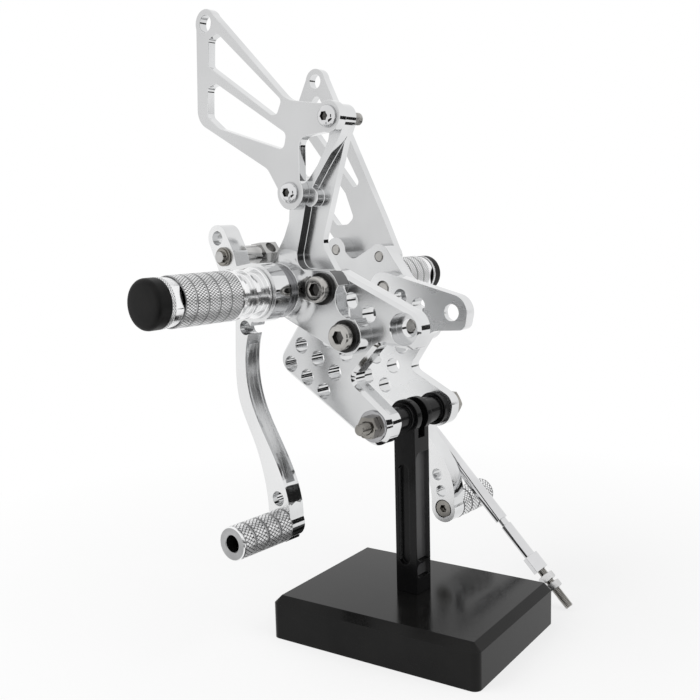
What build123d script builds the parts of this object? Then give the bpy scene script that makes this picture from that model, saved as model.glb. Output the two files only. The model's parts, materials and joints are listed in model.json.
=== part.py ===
import os
from math import atan2, cos, hypot, radians, sin

from build123d import *

# Millimetres, Z up. X runs fore and aft, Y runs across the bike, the stand stands on Z = 0.
# The two units hang on one cross bolt: the brake unit on the -Y side, the shift unit on +Y.
# Points of a unit are written (forward, up) from the cross bolt, and depths run outboard.

BRAKE = -1
SHIFT = 1
brake_tilt = 0
shift_tilt = 9.5

# Clearances, all radial or per face
fit_running = 0.05
fit_thread = 0.05
fit_bolt = 0.25
gap_face = 0.3

# Screw sizes
m8 = 4.0
m6 = 3.0
m5 = 2.5
m5_nut_flats = 8.0
m5_nut_h = 4.0
m8_head_r = 6.5
m8_head_h = 5.0
m8_socket = 6.0
m8_nut_flats = 13.0
m8_nut_h = 4.6
m6_head_r = 5.25
m6_head_h = 3.3
m6_socket = 4.0

# Display stand
base_length = 120
base_width = 92
base_height = 22.7
base_chamfer = 3.9
base_corner = 4
base_turn = 5.29
post_size = 13
bolt_height = 117
ear_radius = 9
fork_slit = 5.5
fork_depth = 11
channel_depth = 2.5
front_channel = (54, 6.6)
front_channel_at = (-1, 42)
side_channel = (15, 58.3)
side_channel_at = (2, 46.4)
side_channel_corner = 4
side_dimple = (15, 7.5)
side_dimple_at = (2, 12.3)
side_dimple_corner = 3
stud_depth = 14
stud_end_gap = 1
brake_spacer_r = 6
shift_spacer_r = 7
shift_spacer_flange_r = 8.75
shift_spacer_flange_h = 4
brake_spacer_flange_r = 7.4
brake_spacer_flange_h = 2.2
washer_r = 8.0
washer_h = 1.4
bolt_proud = 6.0

# Layers outboard of the middle plane
plate_inner = 23
plate_thick = 9
bracket_thick = 9
boss_h = 7
guard_thick = 5
bush_flange_h = 6.7
lever_thick = 10
plate_outer = plate_inner + plate_thick
bracket_outer = plate_outer + bracket_thick
boss_face = bracket_outer + boss_h
lever_in = boss_face + bush_flange_h + gap_face
lever_out = lever_in + lever_thick
peg_in = lever_out + gap_face

# Side plates
lower_eye = (0, 0)
lower_eye_r = 10
upper_eye = (18.9, 49.1)
upper_eye_r = 9.5
frame_hole_r = 4.5
frame_recess_r = 8
frame_recess_h = 5.5
rear_corner = (-53.7, 28.8)
rear_corner_r = 7.5
grid_start = (-45.9, 37.2)
grid_row = (10.9, -6.2)
grid_col = (-7.6, -10.2)
grid_hole_r = m8 + fit_bolt
notch = (-14, 22.5)
shoulder = (4, 41)
plate_edge = 1.8
bolt_pad_r = 9
notch_fillet = 4
shoulder_fillet = 9
notch_cut = 50

# Bracket bolts sit in two holes of the grid
bolt_top = (grid_start[0] - 3 * grid_col[0], grid_start[1] - 3 * grid_col[1])
bolt_low = (
    grid_start[0] + 2 * grid_row[0] - 2 * grid_col[0],
    grid_start[1] + 2 * grid_row[1] - 2 * grid_col[1],
)

# Foot pegs
brake_peg_at = (-46, 67)
shift_peg_at = (-68.3, 76.3)
boss_r = 13.7
bush_r = 8
bush_flange_r = 11.5
peg_r = 12
peg_length = 61.5
cap_r = 11.6
cap_h = 7.3
cap_round = 2.4
plug_r = 6
plug_h = 9
plug_gap = 1
peg_bolt_length = 50
peg_head_h = 8
peg_head_sink = 1
peg_flange_r = 12.6
peg_flange_h = 2.4
peg_waist_r = 9.8
peg_band_at = 8.5
peg_band_h = 1.8
peg_shoulder_at = 16.2
peg_shoulder_r = 12.3
peg_grip_at = 18.6
peg_tip_groove = 7.5
peg_tip_groove_r = 10.8
peg_tip_ring = 2
peg_line_at = 26
peg_line_pitch = 7
peg_line_w = 0.8
peg_line_d = 0.4

# Peg brackets
bracket_boss_r = 14.5
bracket_top_r = 10
bracket_low_r = 9.3
bracket_nip_at = (-5.2, 63.2)
bracket_nip_r = 9.7
brake_arm_top_r = 6.4
brake_arm_low_r = 8
brake_arm_edge = (
    (-6.4, 150),
    (-6.8, 145.5),
    (-10.3, 138.1),
    (-19.8, 109.2),
    (-26.4, 89.5),
    (-16.6, 74.5),
)
brake_arm_rear = (
    (-58.5, 77),
    (-47.4, 93),
    (-43.6, 101.2),
    (-43, 108),
    (-37.8, 115),
    (-29.5, 121.5),
    (-23.6, 127.9),
    (-16.8, 138.5),
    (-14, 150),
)
brake_arm_rear_fillet = 14
brake_arm_fore_fillet = 8
brake_pocket_edge = (
    (2, 148),
    (-6.2, 146),
    (-8.3, 141.8),
    (-11.6, 137.1),
    (-19.4, 127.6),
    (-25, 120.4),
    (-31.6, 111.5),
    (-34.6, 99.9),
    (-38.8, 85.1),
    (-38.6, 77.1),
    (-12, 76.6),
    (-12, 90),
)
brake_pocket_corner = 6
brake_pocket_depth = 5
brake_pocket_lug = (-29, 112.6)
brake_pocket_lug_r = 4.8
shift_arm_r = 7
shift_valley = (
    (-52.8, 92.5),
    (-48.2, 87),
    (-31.6, 92.4),
)
shift_valley_fillet = 5

# Heel guards
brake_guard_edge = (
    (-87.8, 207.4),
    (-37.9, 159.3),
    (-16.2, 155.8),
)
brake_guard_fore = (
    (-12.2, 142.6),
    (-30.8, 140.9),
    (-31.3, 117.2),
)
brake_guard_rear = (
    (-45.7, 116.7),
    (-52.3, 126.9),
    (-101.5, 153.5),
    (-99.4, 201.4),
)
brake_guard_fillets = (14, 5, 8, 10)
brake_guard_top_r = 7.5
brake_guard_low_r = 8.4
brake_window_top = (
    (-90.6, 194.3),
    (-84.2, 196.6),
    (-41.6, 159.5),
    (-44.9, 152.9),
    (-48.7, 153.3),
    (-91.6, 181.1),
)
brake_window_top_fillet = 2.4
brake_window_low = (
    (-92.8, 170.5),
    (-86.2, 171.7),
    (-39.1, 143.4),
    (-41.2, 135.7),
    (-85.2, 149.2),
    (-93.6, 155.8),
)
brake_window_low_fillet = 3
guard_screw_length = 24
shift_guard_edge = (
    (-56.3, 196.6),
    (-28.7, 107.2),
    (-22.9, 86),
)
shift_guard_foot = (
    (-31, 79.9),
    (-57.6, 88.8),
)
shift_guard_back = (
    (-65.6, 96),
    (-67, 103),
    (-100, 157),
    (-69, 198),
)
shift_guard_back_fillet = 10
shift_guard_fore_fillet = 30
shift_guard_foot_r = 6.3
shift_window_top = ((-62.8, 187.8), (-41.8, 130.5), (-46, 127.5), (-75.9, 177.5))
shift_window_top_fillet = 2.6
shift_window_low = (
    (-79.9, 172.5),
    (-53, 126.5),
    (-49.8, 111.5),
    (-55, 108.6),
    (-63, 109.5),
    (-92.4, 157),
)
shift_window_low_fillet = 3
shift_screw_stop = 0.4
brake_guard_top = (-12.4, 149.5)
brake_guard_low = (-37.8, 115)
shift_guard_rear = (-59.4, 94.8)
shift_guard_fore = (-29.2, 86)
guard_lug_r = 7.2
guard_lug_hole_r = 4.2
brake_guard_lug = (-92.6, 202.5)
shift_guard_lug = (-62.9, 194.6)
guard_hole_r = m6 + fit_bolt

# Levers
brake_toe_at = (-33.5, -47.8)
shift_toe_at = (-28.1, -63.9)
toe_r = 8.2
toe_length = 34
toe_bore_r = 4.15
toe_seat_h = 4.2
toe_line_w = 0.9
toe_line_d = 0.5
toe_head_r = 5
toe_head_sink = 0.2
toe_socket_d = 2.4
lever_pocket_rim = 2
trunnion_at = (-65.9, 84.4)
trunnion_pin_r = 2.75
trunnion_r = 5
trunnion_collar_h = 13
trunnion_block = 11.5
trunnion_thread_r = 3
clip_h = 1

lever_eye_r = 14.5
brake_lever_rear = ((-59.6, 62), (-60.9, 30), (-59.4, 13), (-50.3, -7), (-44, -25), (-41.8, -46))
brake_lever_toe = (-31, -56)
brake_lever_fore = ((-27.6, -46), (-29.3, -31), (-41, -7), (-51.3, 13), (-54, 27), (-48.5, 53))
brake_lever_end = (-34.3, -48)
brake_lever_end_r = 7.6
brake_tail_bend = (-62, 73)
brake_tail_bend_r = 6
brake_tail_r = 6.8
brake_tail_tip = (-70.3, 93.5)
brake_tail_tip_r = 6.5
brake_tail_hole_r = 3.5
brake_arm_hole = (-53.3, 49.5)
brake_arm_hole_r = 3.6
brake_toe_hole = (-35, -34.6)
brake_toe_hole_r = 3.7
brake_lever_pocket = ((-36.5, -26.5), (-45, -6.5), (-54.6, 13), (-57.2, 27), (-54.6, 41))
brake_pocket_mouth = ((-45, 41), (-26, -26.5))
shift_lever_rear = ((-82, 72), (-76, 42), (-67.5, 9), (-53, -14), (-38.5, -36), (-36, -62))
shift_lever_fore = ((-20.2, -62), (-19.5, -44), (-38, -10), (-52.2, 15), (-61.5, 44), (-58, 66))
shift_lever_end_r = 8
shift_lever_holes = ((-28.6, -43.5), (-27.6, -53.4))
shift_lever_hole_r = 3.5

# Push-rod pivot end
pivot_pin_proud = 2.6
pivot_hole_turn = 52
pivot_washer_r = 4.75
clip_r = 4.1
clip_mouth_at = (3, -1.5)
clip_mouth = (5, 2.4)
clip_thick = 0.9

# Shift rod
rod_at = (-60.4, 11.5)
rod_slope = -44.76
rod_r = 3.75
rod_neck_r = 2.4
rod_sleeve_r = 3.2
rod_eye_r = 7
rod_eye_w = 7
rod_length = 130.5
rod_collar_h = 10
rod_collar_flats = 8
rod_stud_length = 24.8
rod_offset = 1.5
ball_pin_r = 3
ball_collar_flats = 9
ball_cap_r = 4.6
ball_cap_h = 1.2
ball_cap_gap = 0.4
rod_root = 2
rod_root_h = 10
rod_neck_at = 25.5
rod_neck_h = 4
rod_nut_at = (3.2, 8.8)
rod_relief_r = 2
rod_relief_h = 1


def unit_plane(side, out, tilt):
    turn = radians(tilt)
    return Plane(
        origin=(0, side * out, bolt_height),
        x_dir=(cos(turn), 0, sin(turn)),
        z_dir=(0, -1, 0),
    )


def outward(side, depth):
    return -side * depth


def barrel(side, tilt, at, start, end, radius):
    with BuildPart() as body:
        with BuildSketch(unit_plane(side, start, tilt)):
            with Locations(at):
                Circle(radius)
        extrude(amount=outward(side, end - start))
    return body.part


def hex_bar(side, tilt, at, start, end, flats, turn=0):
    with BuildPart() as body:
        with BuildSketch(unit_plane(side, start, tilt)):
            with Locations(at):
                RegularPolygon(flats / 2, 6, major_radius=False, rotation=turn)
        extrude(amount=outward(side, end - start))
    return body.part


def web(*eyes):
    with BuildSketch() as shape:
        for at, radius in eyes:
            with Locations(at):
                Circle(radius)
        make_hull()
    return shape.sketch


def outline_of(*points):
    with BuildSketch() as shape:
        with BuildLine():
            Polyline(*points, close=True)
        make_face()
    return shape.sketch


def window(radius, *points):
    with BuildSketch() as shape:
        with BuildLine():
            Polyline(*points, close=True)
        make_face()
        fillet(shape.vertices(), radius)
    return shape.sketch


def corner(shape, at):
    return shape.vertices().sort_by_distance((*at, 0))[0]


def tangent_end(start, centre, radius, turn, reach):
    run = hypot(centre[0] - start[0], centre[1] - start[1])
    angle = atan2(centre[1] - start[1], centre[0] - start[0])
    angle += turn * atan2(radius, (run * run - radius * radius) ** 0.5)
    return (start[0] + reach * cos(angle), start[1] + reach * sin(angle))


def socket_screw(side, tilt, at, seat, tip, radius, head_r, head_h, socket):
    with BuildPart() as body:
        add(barrel(side, tilt, at, tip, seat, radius))
        add(barrel(side, tilt, at, seat, seat + head_h, head_r))
        rim = body.faces().sort_by(Axis.Y)[0 if side < 0 else -1]
        chamfer(rim.outer_wire().edges(), head_h * 0.2)
        add(
            hex_bar(side, tilt, at, seat + head_h * 0.35, seat + head_h, socket),
            mode=Mode.SUBTRACT,
        )
    return body.part


def ring(side, tilt, at, start, end, radius, bore):
    with BuildPart() as body:
        add(barrel(side, tilt, at, start, end, radius))
        add(barrel(side, tilt, at, start, end, bore), mode=Mode.SUBTRACT)
    return body.part


def grid_point(row, col):
    return (
        grid_start[0] + row * grid_row[0] + col * grid_col[0],
        grid_start[1] + row * grid_row[1] + col * grid_col[1],
    )


def side_plate(side, tilt):
    with BuildPart() as body:
        with BuildSketch(unit_plane(side, plate_inner, tilt)) as shape:
            add(web(
                (lower_eye, lower_eye_r),
                (upper_eye, upper_eye_r),
                (bolt_top, bolt_pad_r),
                (rear_corner, rear_corner_r),
            ))
            add(
                outline_of(
                    notch,
                    shoulder,
                    tangent_end(shoulder, upper_eye, upper_eye_r, -1, notch_cut * 0.8),
                    tangent_end(notch, lower_eye, lower_eye_r, 1, notch_cut),
                ),
                mode=Mode.SUBTRACT,
            )
            fillet(corner(shape, notch), notch_fillet)
            fillet(corner(shape, shoulder), shoulder_fillet)
        extrude(amount=outward(side, plate_thick))
        outer = body.faces().sort_by(Axis.Y)[0 if side < 0 else -1]
        chamfer(outer.outer_wire().edges(), plate_edge)
        add(
            barrel(side, tilt, upper_eye, plate_outer - frame_recess_h, plate_outer, frame_recess_r),
            mode=Mode.SUBTRACT,
        )
        with BuildSketch(unit_plane(side, plate_inner, tilt)):
            with Locations(*[grid_point(row, col) for row in range(3) for col in range(-3, 2)]):
                Circle(grid_hole_r)
            with Locations(lower_eye):
                Circle(m8 + fit_bolt)
            with Locations(upper_eye):
                Circle(frame_hole_r)
        extrude(amount=outward(side, plate_thick), mode=Mode.SUBTRACT)
    return body.part


def peg_seat(side, tilt, at):
    with BuildPart() as body:
        add(barrel(
            side, tilt, at, plate_outer, plate_outer + peg_head_h + peg_head_sink, m8_head_r + fit_bolt,
        ))
        add(barrel(side, tilt, at, plate_outer, boss_face, m8 + fit_bolt))
    return body.part


def bracket_holes(side, tilt):
    with BuildPart() as body:
        for at in (bolt_top, bolt_low):
            add(barrel(side, tilt, at, plate_outer, bracket_outer, m8 + fit_bolt))
    return body.part


def bracket_screws(side, tilt):
    seat = bracket_outer + washer_h
    with BuildPart() as body:
        for at in (bolt_top, bolt_low):
            add(socket_screw(side, tilt, at, seat, plate_inner, m8, m8_head_r, m8_head_h, m8_socket))
    return body.part


def bracket_washers(side, tilt):
    with BuildPart() as body:
        for at in (bolt_top, bolt_low):
            add(ring(side, tilt, at, bracket_outer, bracket_outer + washer_h, washer_r, m8 + fit_bolt))
    return body.part


def lever_bush(side, tilt, at):
    with BuildPart() as body:
        add(barrel(side, tilt, at, boss_face, boss_face + bush_flange_h, bush_flange_r))
        add(barrel(side, tilt, at, boss_face + bush_flange_h, peg_in, bush_r))
        add(barrel(side, tilt, at, boss_face, peg_in, m8 + fit_bolt), mode=Mode.SUBTRACT)
    return body.part


def foot_peg(side, tilt, at):
    end = peg_in + peg_length
    steps = (
        (0, peg_flange_h, peg_flange_r),
        (peg_flange_h, peg_shoulder_at, peg_waist_r),
        (peg_band_at, peg_band_at + peg_band_h, peg_r),
        (peg_shoulder_at, peg_grip_at, peg_shoulder_r),
        (peg_grip_at, peg_length - peg_tip_groove, peg_r),
        (peg_length - peg_tip_groove, peg_length - peg_tip_ring, peg_tip_groove_r),
        (peg_length - peg_tip_ring, peg_length, cap_r),
    )
    with BuildPart() as body:
        for start, stop, radius in steps:
            add(barrel(side, tilt, at, peg_in + start, peg_in + stop, radius))
        for groove in range(4):
            cut = peg_in + peg_line_at + peg_line_pitch * groove
            add(
                ring(side, tilt, at, cut, cut + peg_line_w, peg_r * 1.1, peg_r - peg_line_d),
                mode=Mode.SUBTRACT,
            )
        add(
            barrel(side, tilt, at, peg_in, peg_in + peg_length * 0.45, m8 + fit_thread),
            mode=Mode.SUBTRACT,
        )
        add(barrel(side, tilt, at, end - plug_h, end, plug_r + fit_thread), mode=Mode.SUBTRACT)
    return body.part


def peg_cap(side, tilt, at):
    end = peg_in + peg_length
    with BuildPart() as body:
        add(barrel(side, tilt, at, end, end + cap_h, cap_r))
        face = body.faces().sort_by(Axis.Y)[0 if side < 0 else -1]
        fillet(face.outer_wire().edges(), cap_round)
        add(barrel(side, tilt, at, end - plug_h + plug_gap, end, plug_r))
    return body.part


def peg_bolt(side, tilt, at):
    seat = plate_outer + peg_head_h + peg_head_sink
    with BuildPart() as body:
        add(barrel(side, tilt, at, seat, seat + peg_bolt_length, m8))
        add(barrel(side, tilt, at, seat - peg_head_h, seat, m8_head_r))
        add(
            hex_bar(side, tilt, at, seat - peg_head_h, seat - peg_head_h * 0.45, m8_socket),
            mode=Mode.SUBTRACT,
        )
    return body.part


def toe_peg(side, tilt, at):
    end = lever_out + toe_length
    with BuildPart() as body:
        add(barrel(side, tilt, at, lever_out, end, toe_r))
        for groove in range(3):
            cut = lever_out + (groove + 1) * toe_length / 4
            add(
                ring(side, tilt, at, cut, cut + toe_line_w, toe_r * 1.1, toe_r - toe_line_d),
                mode=Mode.SUBTRACT,
            )
        add(barrel(side, tilt, at, end - toe_length * 0.5, end, toe_bore_r), mode=Mode.SUBTRACT)
        add(barrel(side, tilt, at, lever_out, end, m6 + fit_thread), mode=Mode.SUBTRACT)
    return body.part


def toe_screw(side, tilt, at):
    seat = lever_in + toe_seat_h
    with BuildPart() as body:
        add(barrel(side, tilt, at, seat, lever_out + toe_length * 0.4, m6))
        near = lever_in + toe_head_sink
        add(barrel(side, tilt, at, near, seat, toe_head_r))
        add(hex_bar(side, tilt, at, near, near + toe_socket_d, m6_socket), mode=Mode.SUBTRACT)
    return body.part


def lever_cuts(side, tilt, hub, toe):
    with BuildPart() as body:
        add(barrel(side, tilt, hub, lever_in, lever_out, bush_r + fit_running))
        add(barrel(side, tilt, toe, lever_in, lever_out, m6 + fit_bolt))
        add(barrel(side, tilt, toe, lever_in, lever_in + toe_seat_h, m6_head_r + fit_bolt))
    return body.part


# Stand base, turned a little under the units
with BuildPart() as stand_base:
    with BuildSketch():
        Rectangle(base_length, base_width, rotation=base_turn)
    extrude(amount=base_height)
    fillet(stand_base.edges().filter_by(Axis.Z), base_corner)
    chamfer(stand_base.faces().sort_by(Axis.Z)[-1].edges(), base_chamfer)
    with Locations(stand_base.faces().sort_by(Axis.Z)[-1]):
        Hole(m6 + fit_thread, stud_depth)

# Upright with a forked round head, side channels and a tapped foot
with BuildPart() as stand_post:
    with BuildSketch(Plane.XY.offset(base_height)):
        Rectangle(post_size, post_size)
    extrude(amount=bolt_height - base_height)
    with BuildSketch(Plane.XZ.offset(-post_size / 2)):
        with Locations((0, bolt_height)):
            Circle(ear_radius)
    extrude(amount=post_size)
    with BuildSketch(Plane.XY.offset(bolt_height - fork_depth)):
        Rectangle(post_size * 3, fork_slit)
    extrude(amount=fork_depth + ear_radius * 2, mode=Mode.SUBTRACT)
    with BuildSketch(Plane.XZ.offset(post_size / 2)):
        with Locations((front_channel_at[0], base_height + front_channel_at[1])):
            SlotOverall(*front_channel, rotation=90)
    extrude(amount=-channel_depth, mode=Mode.SUBTRACT)
    with BuildSketch(Plane.YZ.offset(post_size / 2)):
        with Locations((side_channel_at[0], base_height + side_channel_at[1])):
            RectangleRounded(*side_channel, side_channel_corner)
        with Locations((side_dimple_at[0], base_height + side_dimple_at[1])):
            RectangleRounded(*side_dimple, side_dimple_corner)
    extrude(amount=-channel_depth, mode=Mode.SUBTRACT)
    with BuildSketch(Plane.XZ.offset(-post_size)):
        with Locations((0, bolt_height)):
            Circle(m8 + fit_bolt)
    extrude(amount=post_size * 2, mode=Mode.SUBTRACT)
    with BuildSketch(Plane.XY.offset(base_height)):
        Circle(m6 + fit_thread)
    extrude(amount=stud_depth, mode=Mode.SUBTRACT)

# Stud that joins the base and the post
with BuildPart() as stand_stud:
    with BuildSketch(Plane.XY.offset(base_height)):
        Circle(m6)
    extrude(amount=stud_depth - stud_end_gap, both=True)

# Cross bolt that carries both units, with its nut and washers
with BuildPart() as stand_bolt:
    tip = plate_outer + washer_h + m8_nut_h + bolt_proud
    head = plate_outer + washer_h
    add(barrel(BRAKE, brake_tilt, lower_eye, -head, tip, m8))
    add(hex_bar(SHIFT, brake_tilt, lower_eye, head, head + m8_head_h, m8_nut_flats))

with BuildPart() as stand_nut:
    near = plate_outer + washer_h
    add(hex_bar(BRAKE, brake_tilt, lower_eye, near, near + m8_nut_h, m8_nut_flats, 12))
    add(
        barrel(BRAKE, brake_tilt, lower_eye, near, near + m8_nut_h, m8 + fit_thread),
        mode=Mode.SUBTRACT,
    )

with BuildPart() as stand_washers:
    for side in (BRAKE, SHIFT):
        add(ring(side, 0, lower_eye, plate_outer, plate_outer + washer_h, washer_r, m8 + fit_bolt))

with BuildPart() as brake_spacer:
    add(barrel(BRAKE, 0, lower_eye, post_size / 2, plate_inner, brake_spacer_r))
    add(barrel(
        BRAKE, 0, lower_eye, post_size / 2, post_size / 2 + brake_spacer_flange_h, brake_spacer_flange_r,
    ))
    add(barrel(BRAKE, 0, lower_eye, post_size / 2, plate_inner, m8 + fit_bolt), mode=Mode.SUBTRACT)

with BuildPart() as shift_spacer:
    add(barrel(SHIFT, 0, lower_eye, post_size / 2, plate_inner, shift_spacer_r))
    add(barrel(
        SHIFT, 0, lower_eye, plate_inner - shift_spacer_flange_h, plate_inner, shift_spacer_flange_r,
    ))
    add(barrel(SHIFT, 0, lower_eye, post_size / 2, plate_inner, m8 + fit_bolt), mode=Mode.SUBTRACT)

# Brake unit
with BuildPart() as brake_plate:
    add(side_plate(BRAKE, brake_tilt))

with BuildPart() as brake_bracket:
    with BuildSketch(unit_plane(BRAKE, plate_outer, brake_tilt)) as shape:
        add(web((brake_peg_at, bracket_boss_r), (bolt_top, bracket_top_r), (bolt_low, bracket_low_r)))
        add(outline_of(
            *brake_arm_edge,
            bolt_top,
            brake_peg_at,
            *brake_arm_rear,
        ))
        with Locations(brake_guard_top):
            Circle(brake_arm_top_r)
        with Locations(brake_guard_low):
            Circle(brake_arm_low_r)
        with Locations(bracket_nip_at):
            Circle(bracket_nip_r, mode=Mode.SUBTRACT)
        fillet(corner(shape, brake_arm_rear[1]), brake_arm_rear_fillet)
        fillet(corner(shape, brake_arm_edge[4]), brake_arm_fore_fillet)
    extrude(amount=outward(BRAKE, bracket_thick))
    with BuildSketch(unit_plane(BRAKE, bracket_outer, brake_tilt)) as recess:
        add(outline_of(*brake_pocket_edge))
        fillet(corner(recess, brake_pocket_edge[9]), brake_pocket_corner)
        with Locations(brake_pocket_lug):
            Circle(brake_pocket_lug_r, mode=Mode.SUBTRACT)
    extrude(amount=-outward(BRAKE, brake_pocket_depth), mode=Mode.SUBTRACT)
    add(barrel(BRAKE, brake_tilt, brake_peg_at, bracket_outer, boss_face, boss_r))
    add(bracket_holes(BRAKE, brake_tilt), mode=Mode.SUBTRACT)
    add(peg_seat(BRAKE, brake_tilt, brake_peg_at), mode=Mode.SUBTRACT)
    for at in (brake_guard_top, brake_guard_low):
        add(
            barrel(BRAKE, brake_tilt, at, plate_outer, bracket_outer, m6 + fit_thread),
            mode=Mode.SUBTRACT,
        )

with BuildPart() as brake_bracket_screws:
    add(bracket_screws(BRAKE, brake_tilt))

with BuildPart() as brake_bracket_washers:
    add(bracket_washers(BRAKE, brake_tilt))

guard_out = bracket_outer + guard_thick

with BuildPart() as brake_heel_guard:
    with BuildSketch(unit_plane(BRAKE, bracket_outer, brake_tilt)) as shape:
        add(outline_of(
            *brake_guard_edge,
            brake_guard_top,
            *brake_guard_fore,
            brake_guard_low,
            *brake_guard_rear,
        ))
        fillet(corner(shape, brake_guard_edge[1]), brake_guard_fillets[0])
        fillet(corner(shape, brake_guard_fore[1]), brake_guard_fillets[1])
        fillet(corner(shape, brake_guard_rear[1]), brake_guard_fillets[2])
        fillet(corner(shape, brake_guard_rear[2]), brake_guard_fillets[3])
        with Locations(brake_guard_lug):
            Circle(guard_lug_r)
        with Locations(brake_guard_top):
            Circle(brake_guard_top_r)
        with Locations(brake_guard_low):
            Circle(brake_guard_low_r)
        add(window(brake_window_top_fillet, *brake_window_top), mode=Mode.SUBTRACT)
        add(window(brake_window_low_fillet, *brake_window_low), mode=Mode.SUBTRACT)
        with Locations(brake_guard_lug):
            Circle(guard_lug_hole_r, mode=Mode.SUBTRACT)
        with Locations(brake_guard_top, brake_guard_low):
            Circle(guard_hole_r, mode=Mode.SUBTRACT)
    extrude(amount=outward(BRAKE, guard_thick))

with BuildPart() as brake_guard_screws:
    for at in (brake_guard_top, brake_guard_low):
        add(socket_screw(
            BRAKE, brake_tilt, at, guard_out, guard_out - guard_screw_length,
            m6, m6_head_r, m6_head_h, m6_socket,
        ))

with BuildPart() as brake_lever_bush:
    add(lever_bush(BRAKE, brake_tilt, brake_peg_at))

with BuildPart() as brake_peg:
    add(foot_peg(BRAKE, brake_tilt, brake_peg_at))

with BuildPart() as brake_peg_cap:
    add(peg_cap(BRAKE, brake_tilt, brake_peg_at))

with BuildPart() as brake_peg_bolt:
    add(peg_bolt(BRAKE, brake_tilt, brake_peg_at))

# Brake lever: eye, tail with the push-rod pivot, curved arm and toe end
with BuildPart() as brake_lever:
    with BuildSketch(unit_plane(BRAKE, lever_in, brake_tilt)) as shape:
        with BuildLine():
            rear = Spline(*brake_lever_rear)
            Line(rear @ 1, brake_lever_toe)
            Line(brake_lever_toe, brake_lever_fore[0])
            fore = Spline(*brake_lever_fore)
            Line(fore @ 1, rear @ 0)
        make_face()
        with Locations(brake_lever_end):
            Circle(brake_lever_end_r)
        add(web((brake_peg_at, lever_eye_r), (brake_tail_bend, brake_tail_bend_r)))
        add(web((brake_tail_bend, brake_tail_bend_r), (trunnion_at, brake_tail_r)))
        add(web((trunnion_at, brake_tail_r), (brake_tail_tip, brake_tail_tip_r)))
        with Locations(brake_arm_hole):
            Circle(brake_arm_hole_r, mode=Mode.SUBTRACT)
        with Locations(brake_toe_hole):
            Circle(brake_toe_hole_r, mode=Mode.SUBTRACT)
        with Locations(brake_tail_tip):
            Circle(brake_tail_hole_r, mode=Mode.SUBTRACT)
    extrude(amount=outward(BRAKE, lever_thick))
    with BuildSketch(unit_plane(BRAKE, lever_in + lever_pocket_rim, brake_tilt)):
        with BuildLine():
            inner = Spline(*brake_lever_pocket)
            Line(inner @ 1, brake_pocket_mouth[0])
            Line(*brake_pocket_mouth)
            Line(brake_pocket_mouth[1], inner @ 0)
        make_face()
    extrude(amount=outward(BRAKE, lever_thick - 2 * lever_pocket_rim), mode=Mode.SUBTRACT)
    add(lever_cuts(BRAKE, brake_tilt, brake_peg_at, brake_toe_at), mode=Mode.SUBTRACT)
    add(
        barrel(BRAKE, brake_tilt, trunnion_at, lever_in, lever_out, trunnion_pin_r + fit_running),
        mode=Mode.SUBTRACT,
    )

with BuildPart() as brake_toe_peg:
    add(toe_peg(BRAKE, brake_tilt, brake_toe_at))

with BuildPart() as brake_toe_screw:
    add(toe_screw(BRAKE, brake_tilt, brake_toe_at))

# Push-rod pivot: pin, collar and cross-tapped block in one piece
collar_in = lever_in - gap_face - trunnion_collar_h
block_in = collar_in - trunnion_block
with BuildPart() as push_rod_pivot:
    pin_end = lever_out + clip_h + pivot_pin_proud
    add(barrel(BRAKE, brake_tilt, trunnion_at, collar_in, pin_end, trunnion_pin_r))
    add(barrel(BRAKE, brake_tilt, trunnion_at, collar_in, lever_in - gap_face, trunnion_r))
    add(hex_bar(BRAKE, brake_tilt, trunnion_at, block_in, collar_in, trunnion_block, 60 - pivot_hole_turn))
    with BuildSketch(Plane(
        origin=(trunnion_at[0], -(block_in + trunnion_block / 2), bolt_height + trunnion_at[1]),
        z_dir=(sin(radians(pivot_hole_turn)), 0, cos(radians(pivot_hole_turn))),
    )):
        Circle(trunnion_thread_r)
    extrude(amount=trunnion_block, both=True, mode=Mode.SUBTRACT)

with BuildPart() as pivot_washer:
    add(ring(
        BRAKE, brake_tilt, trunnion_at, lever_out + gap_face, lever_out + gap_face + clip_h,
        pivot_washer_r, trunnion_pin_r + fit_thread,
    ))

with BuildPart() as pivot_clip:
    near = lever_out + gap_face + clip_h
    with BuildSketch(unit_plane(BRAKE, near, brake_tilt)):
        with Locations(trunnion_at):
            Circle(clip_r)
            Circle(trunnion_pin_r + fit_thread, mode=Mode.SUBTRACT)
            with Locations(clip_mouth_at):
                Rectangle(*clip_mouth, mode=Mode.SUBTRACT)
    extrude(amount=outward(BRAKE, clip_thick))

# Shift unit
with BuildPart() as shift_plate:
    add(side_plate(SHIFT, shift_tilt))

with BuildPart() as shift_bracket:
    with BuildSketch(unit_plane(SHIFT, plate_outer, shift_tilt)) as shape:
        add(web((shift_peg_at, bracket_boss_r), (bolt_top, bracket_top_r), (bolt_low, bracket_low_r)))
        add(web((shift_peg_at, bracket_boss_r), (shift_guard_rear, shift_arm_r)))
        add(web((bolt_top, bracket_top_r), (shift_guard_fore, shift_arm_r)))
        add(outline_of(
            shift_peg_at,
            shift_guard_rear,
            *shift_valley,
            shift_guard_fore,
            bolt_top,
        ))
        fillet(corner(shape, shift_valley[1]), shift_valley_fillet)
        with Locations(bracket_nip_at):
            Circle(bracket_nip_r, mode=Mode.SUBTRACT)
    extrude(amount=outward(SHIFT, bracket_thick))
    add(barrel(SHIFT, shift_tilt, shift_peg_at, bracket_outer, boss_face, boss_r))
    add(bracket_holes(SHIFT, shift_tilt), mode=Mode.SUBTRACT)
    add(peg_seat(SHIFT, shift_tilt, shift_peg_at), mode=Mode.SUBTRACT)
    for at in (shift_guard_rear, shift_guard_fore):
        add(
            barrel(SHIFT, shift_tilt, at, plate_outer, bracket_outer, m6 + fit_thread),
            mode=Mode.SUBTRACT,
        )

with BuildPart() as shift_bracket_screws:
    add(bracket_screws(SHIFT, shift_tilt))

with BuildPart() as shift_bracket_washers:
    add(bracket_washers(SHIFT, shift_tilt))

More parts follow.
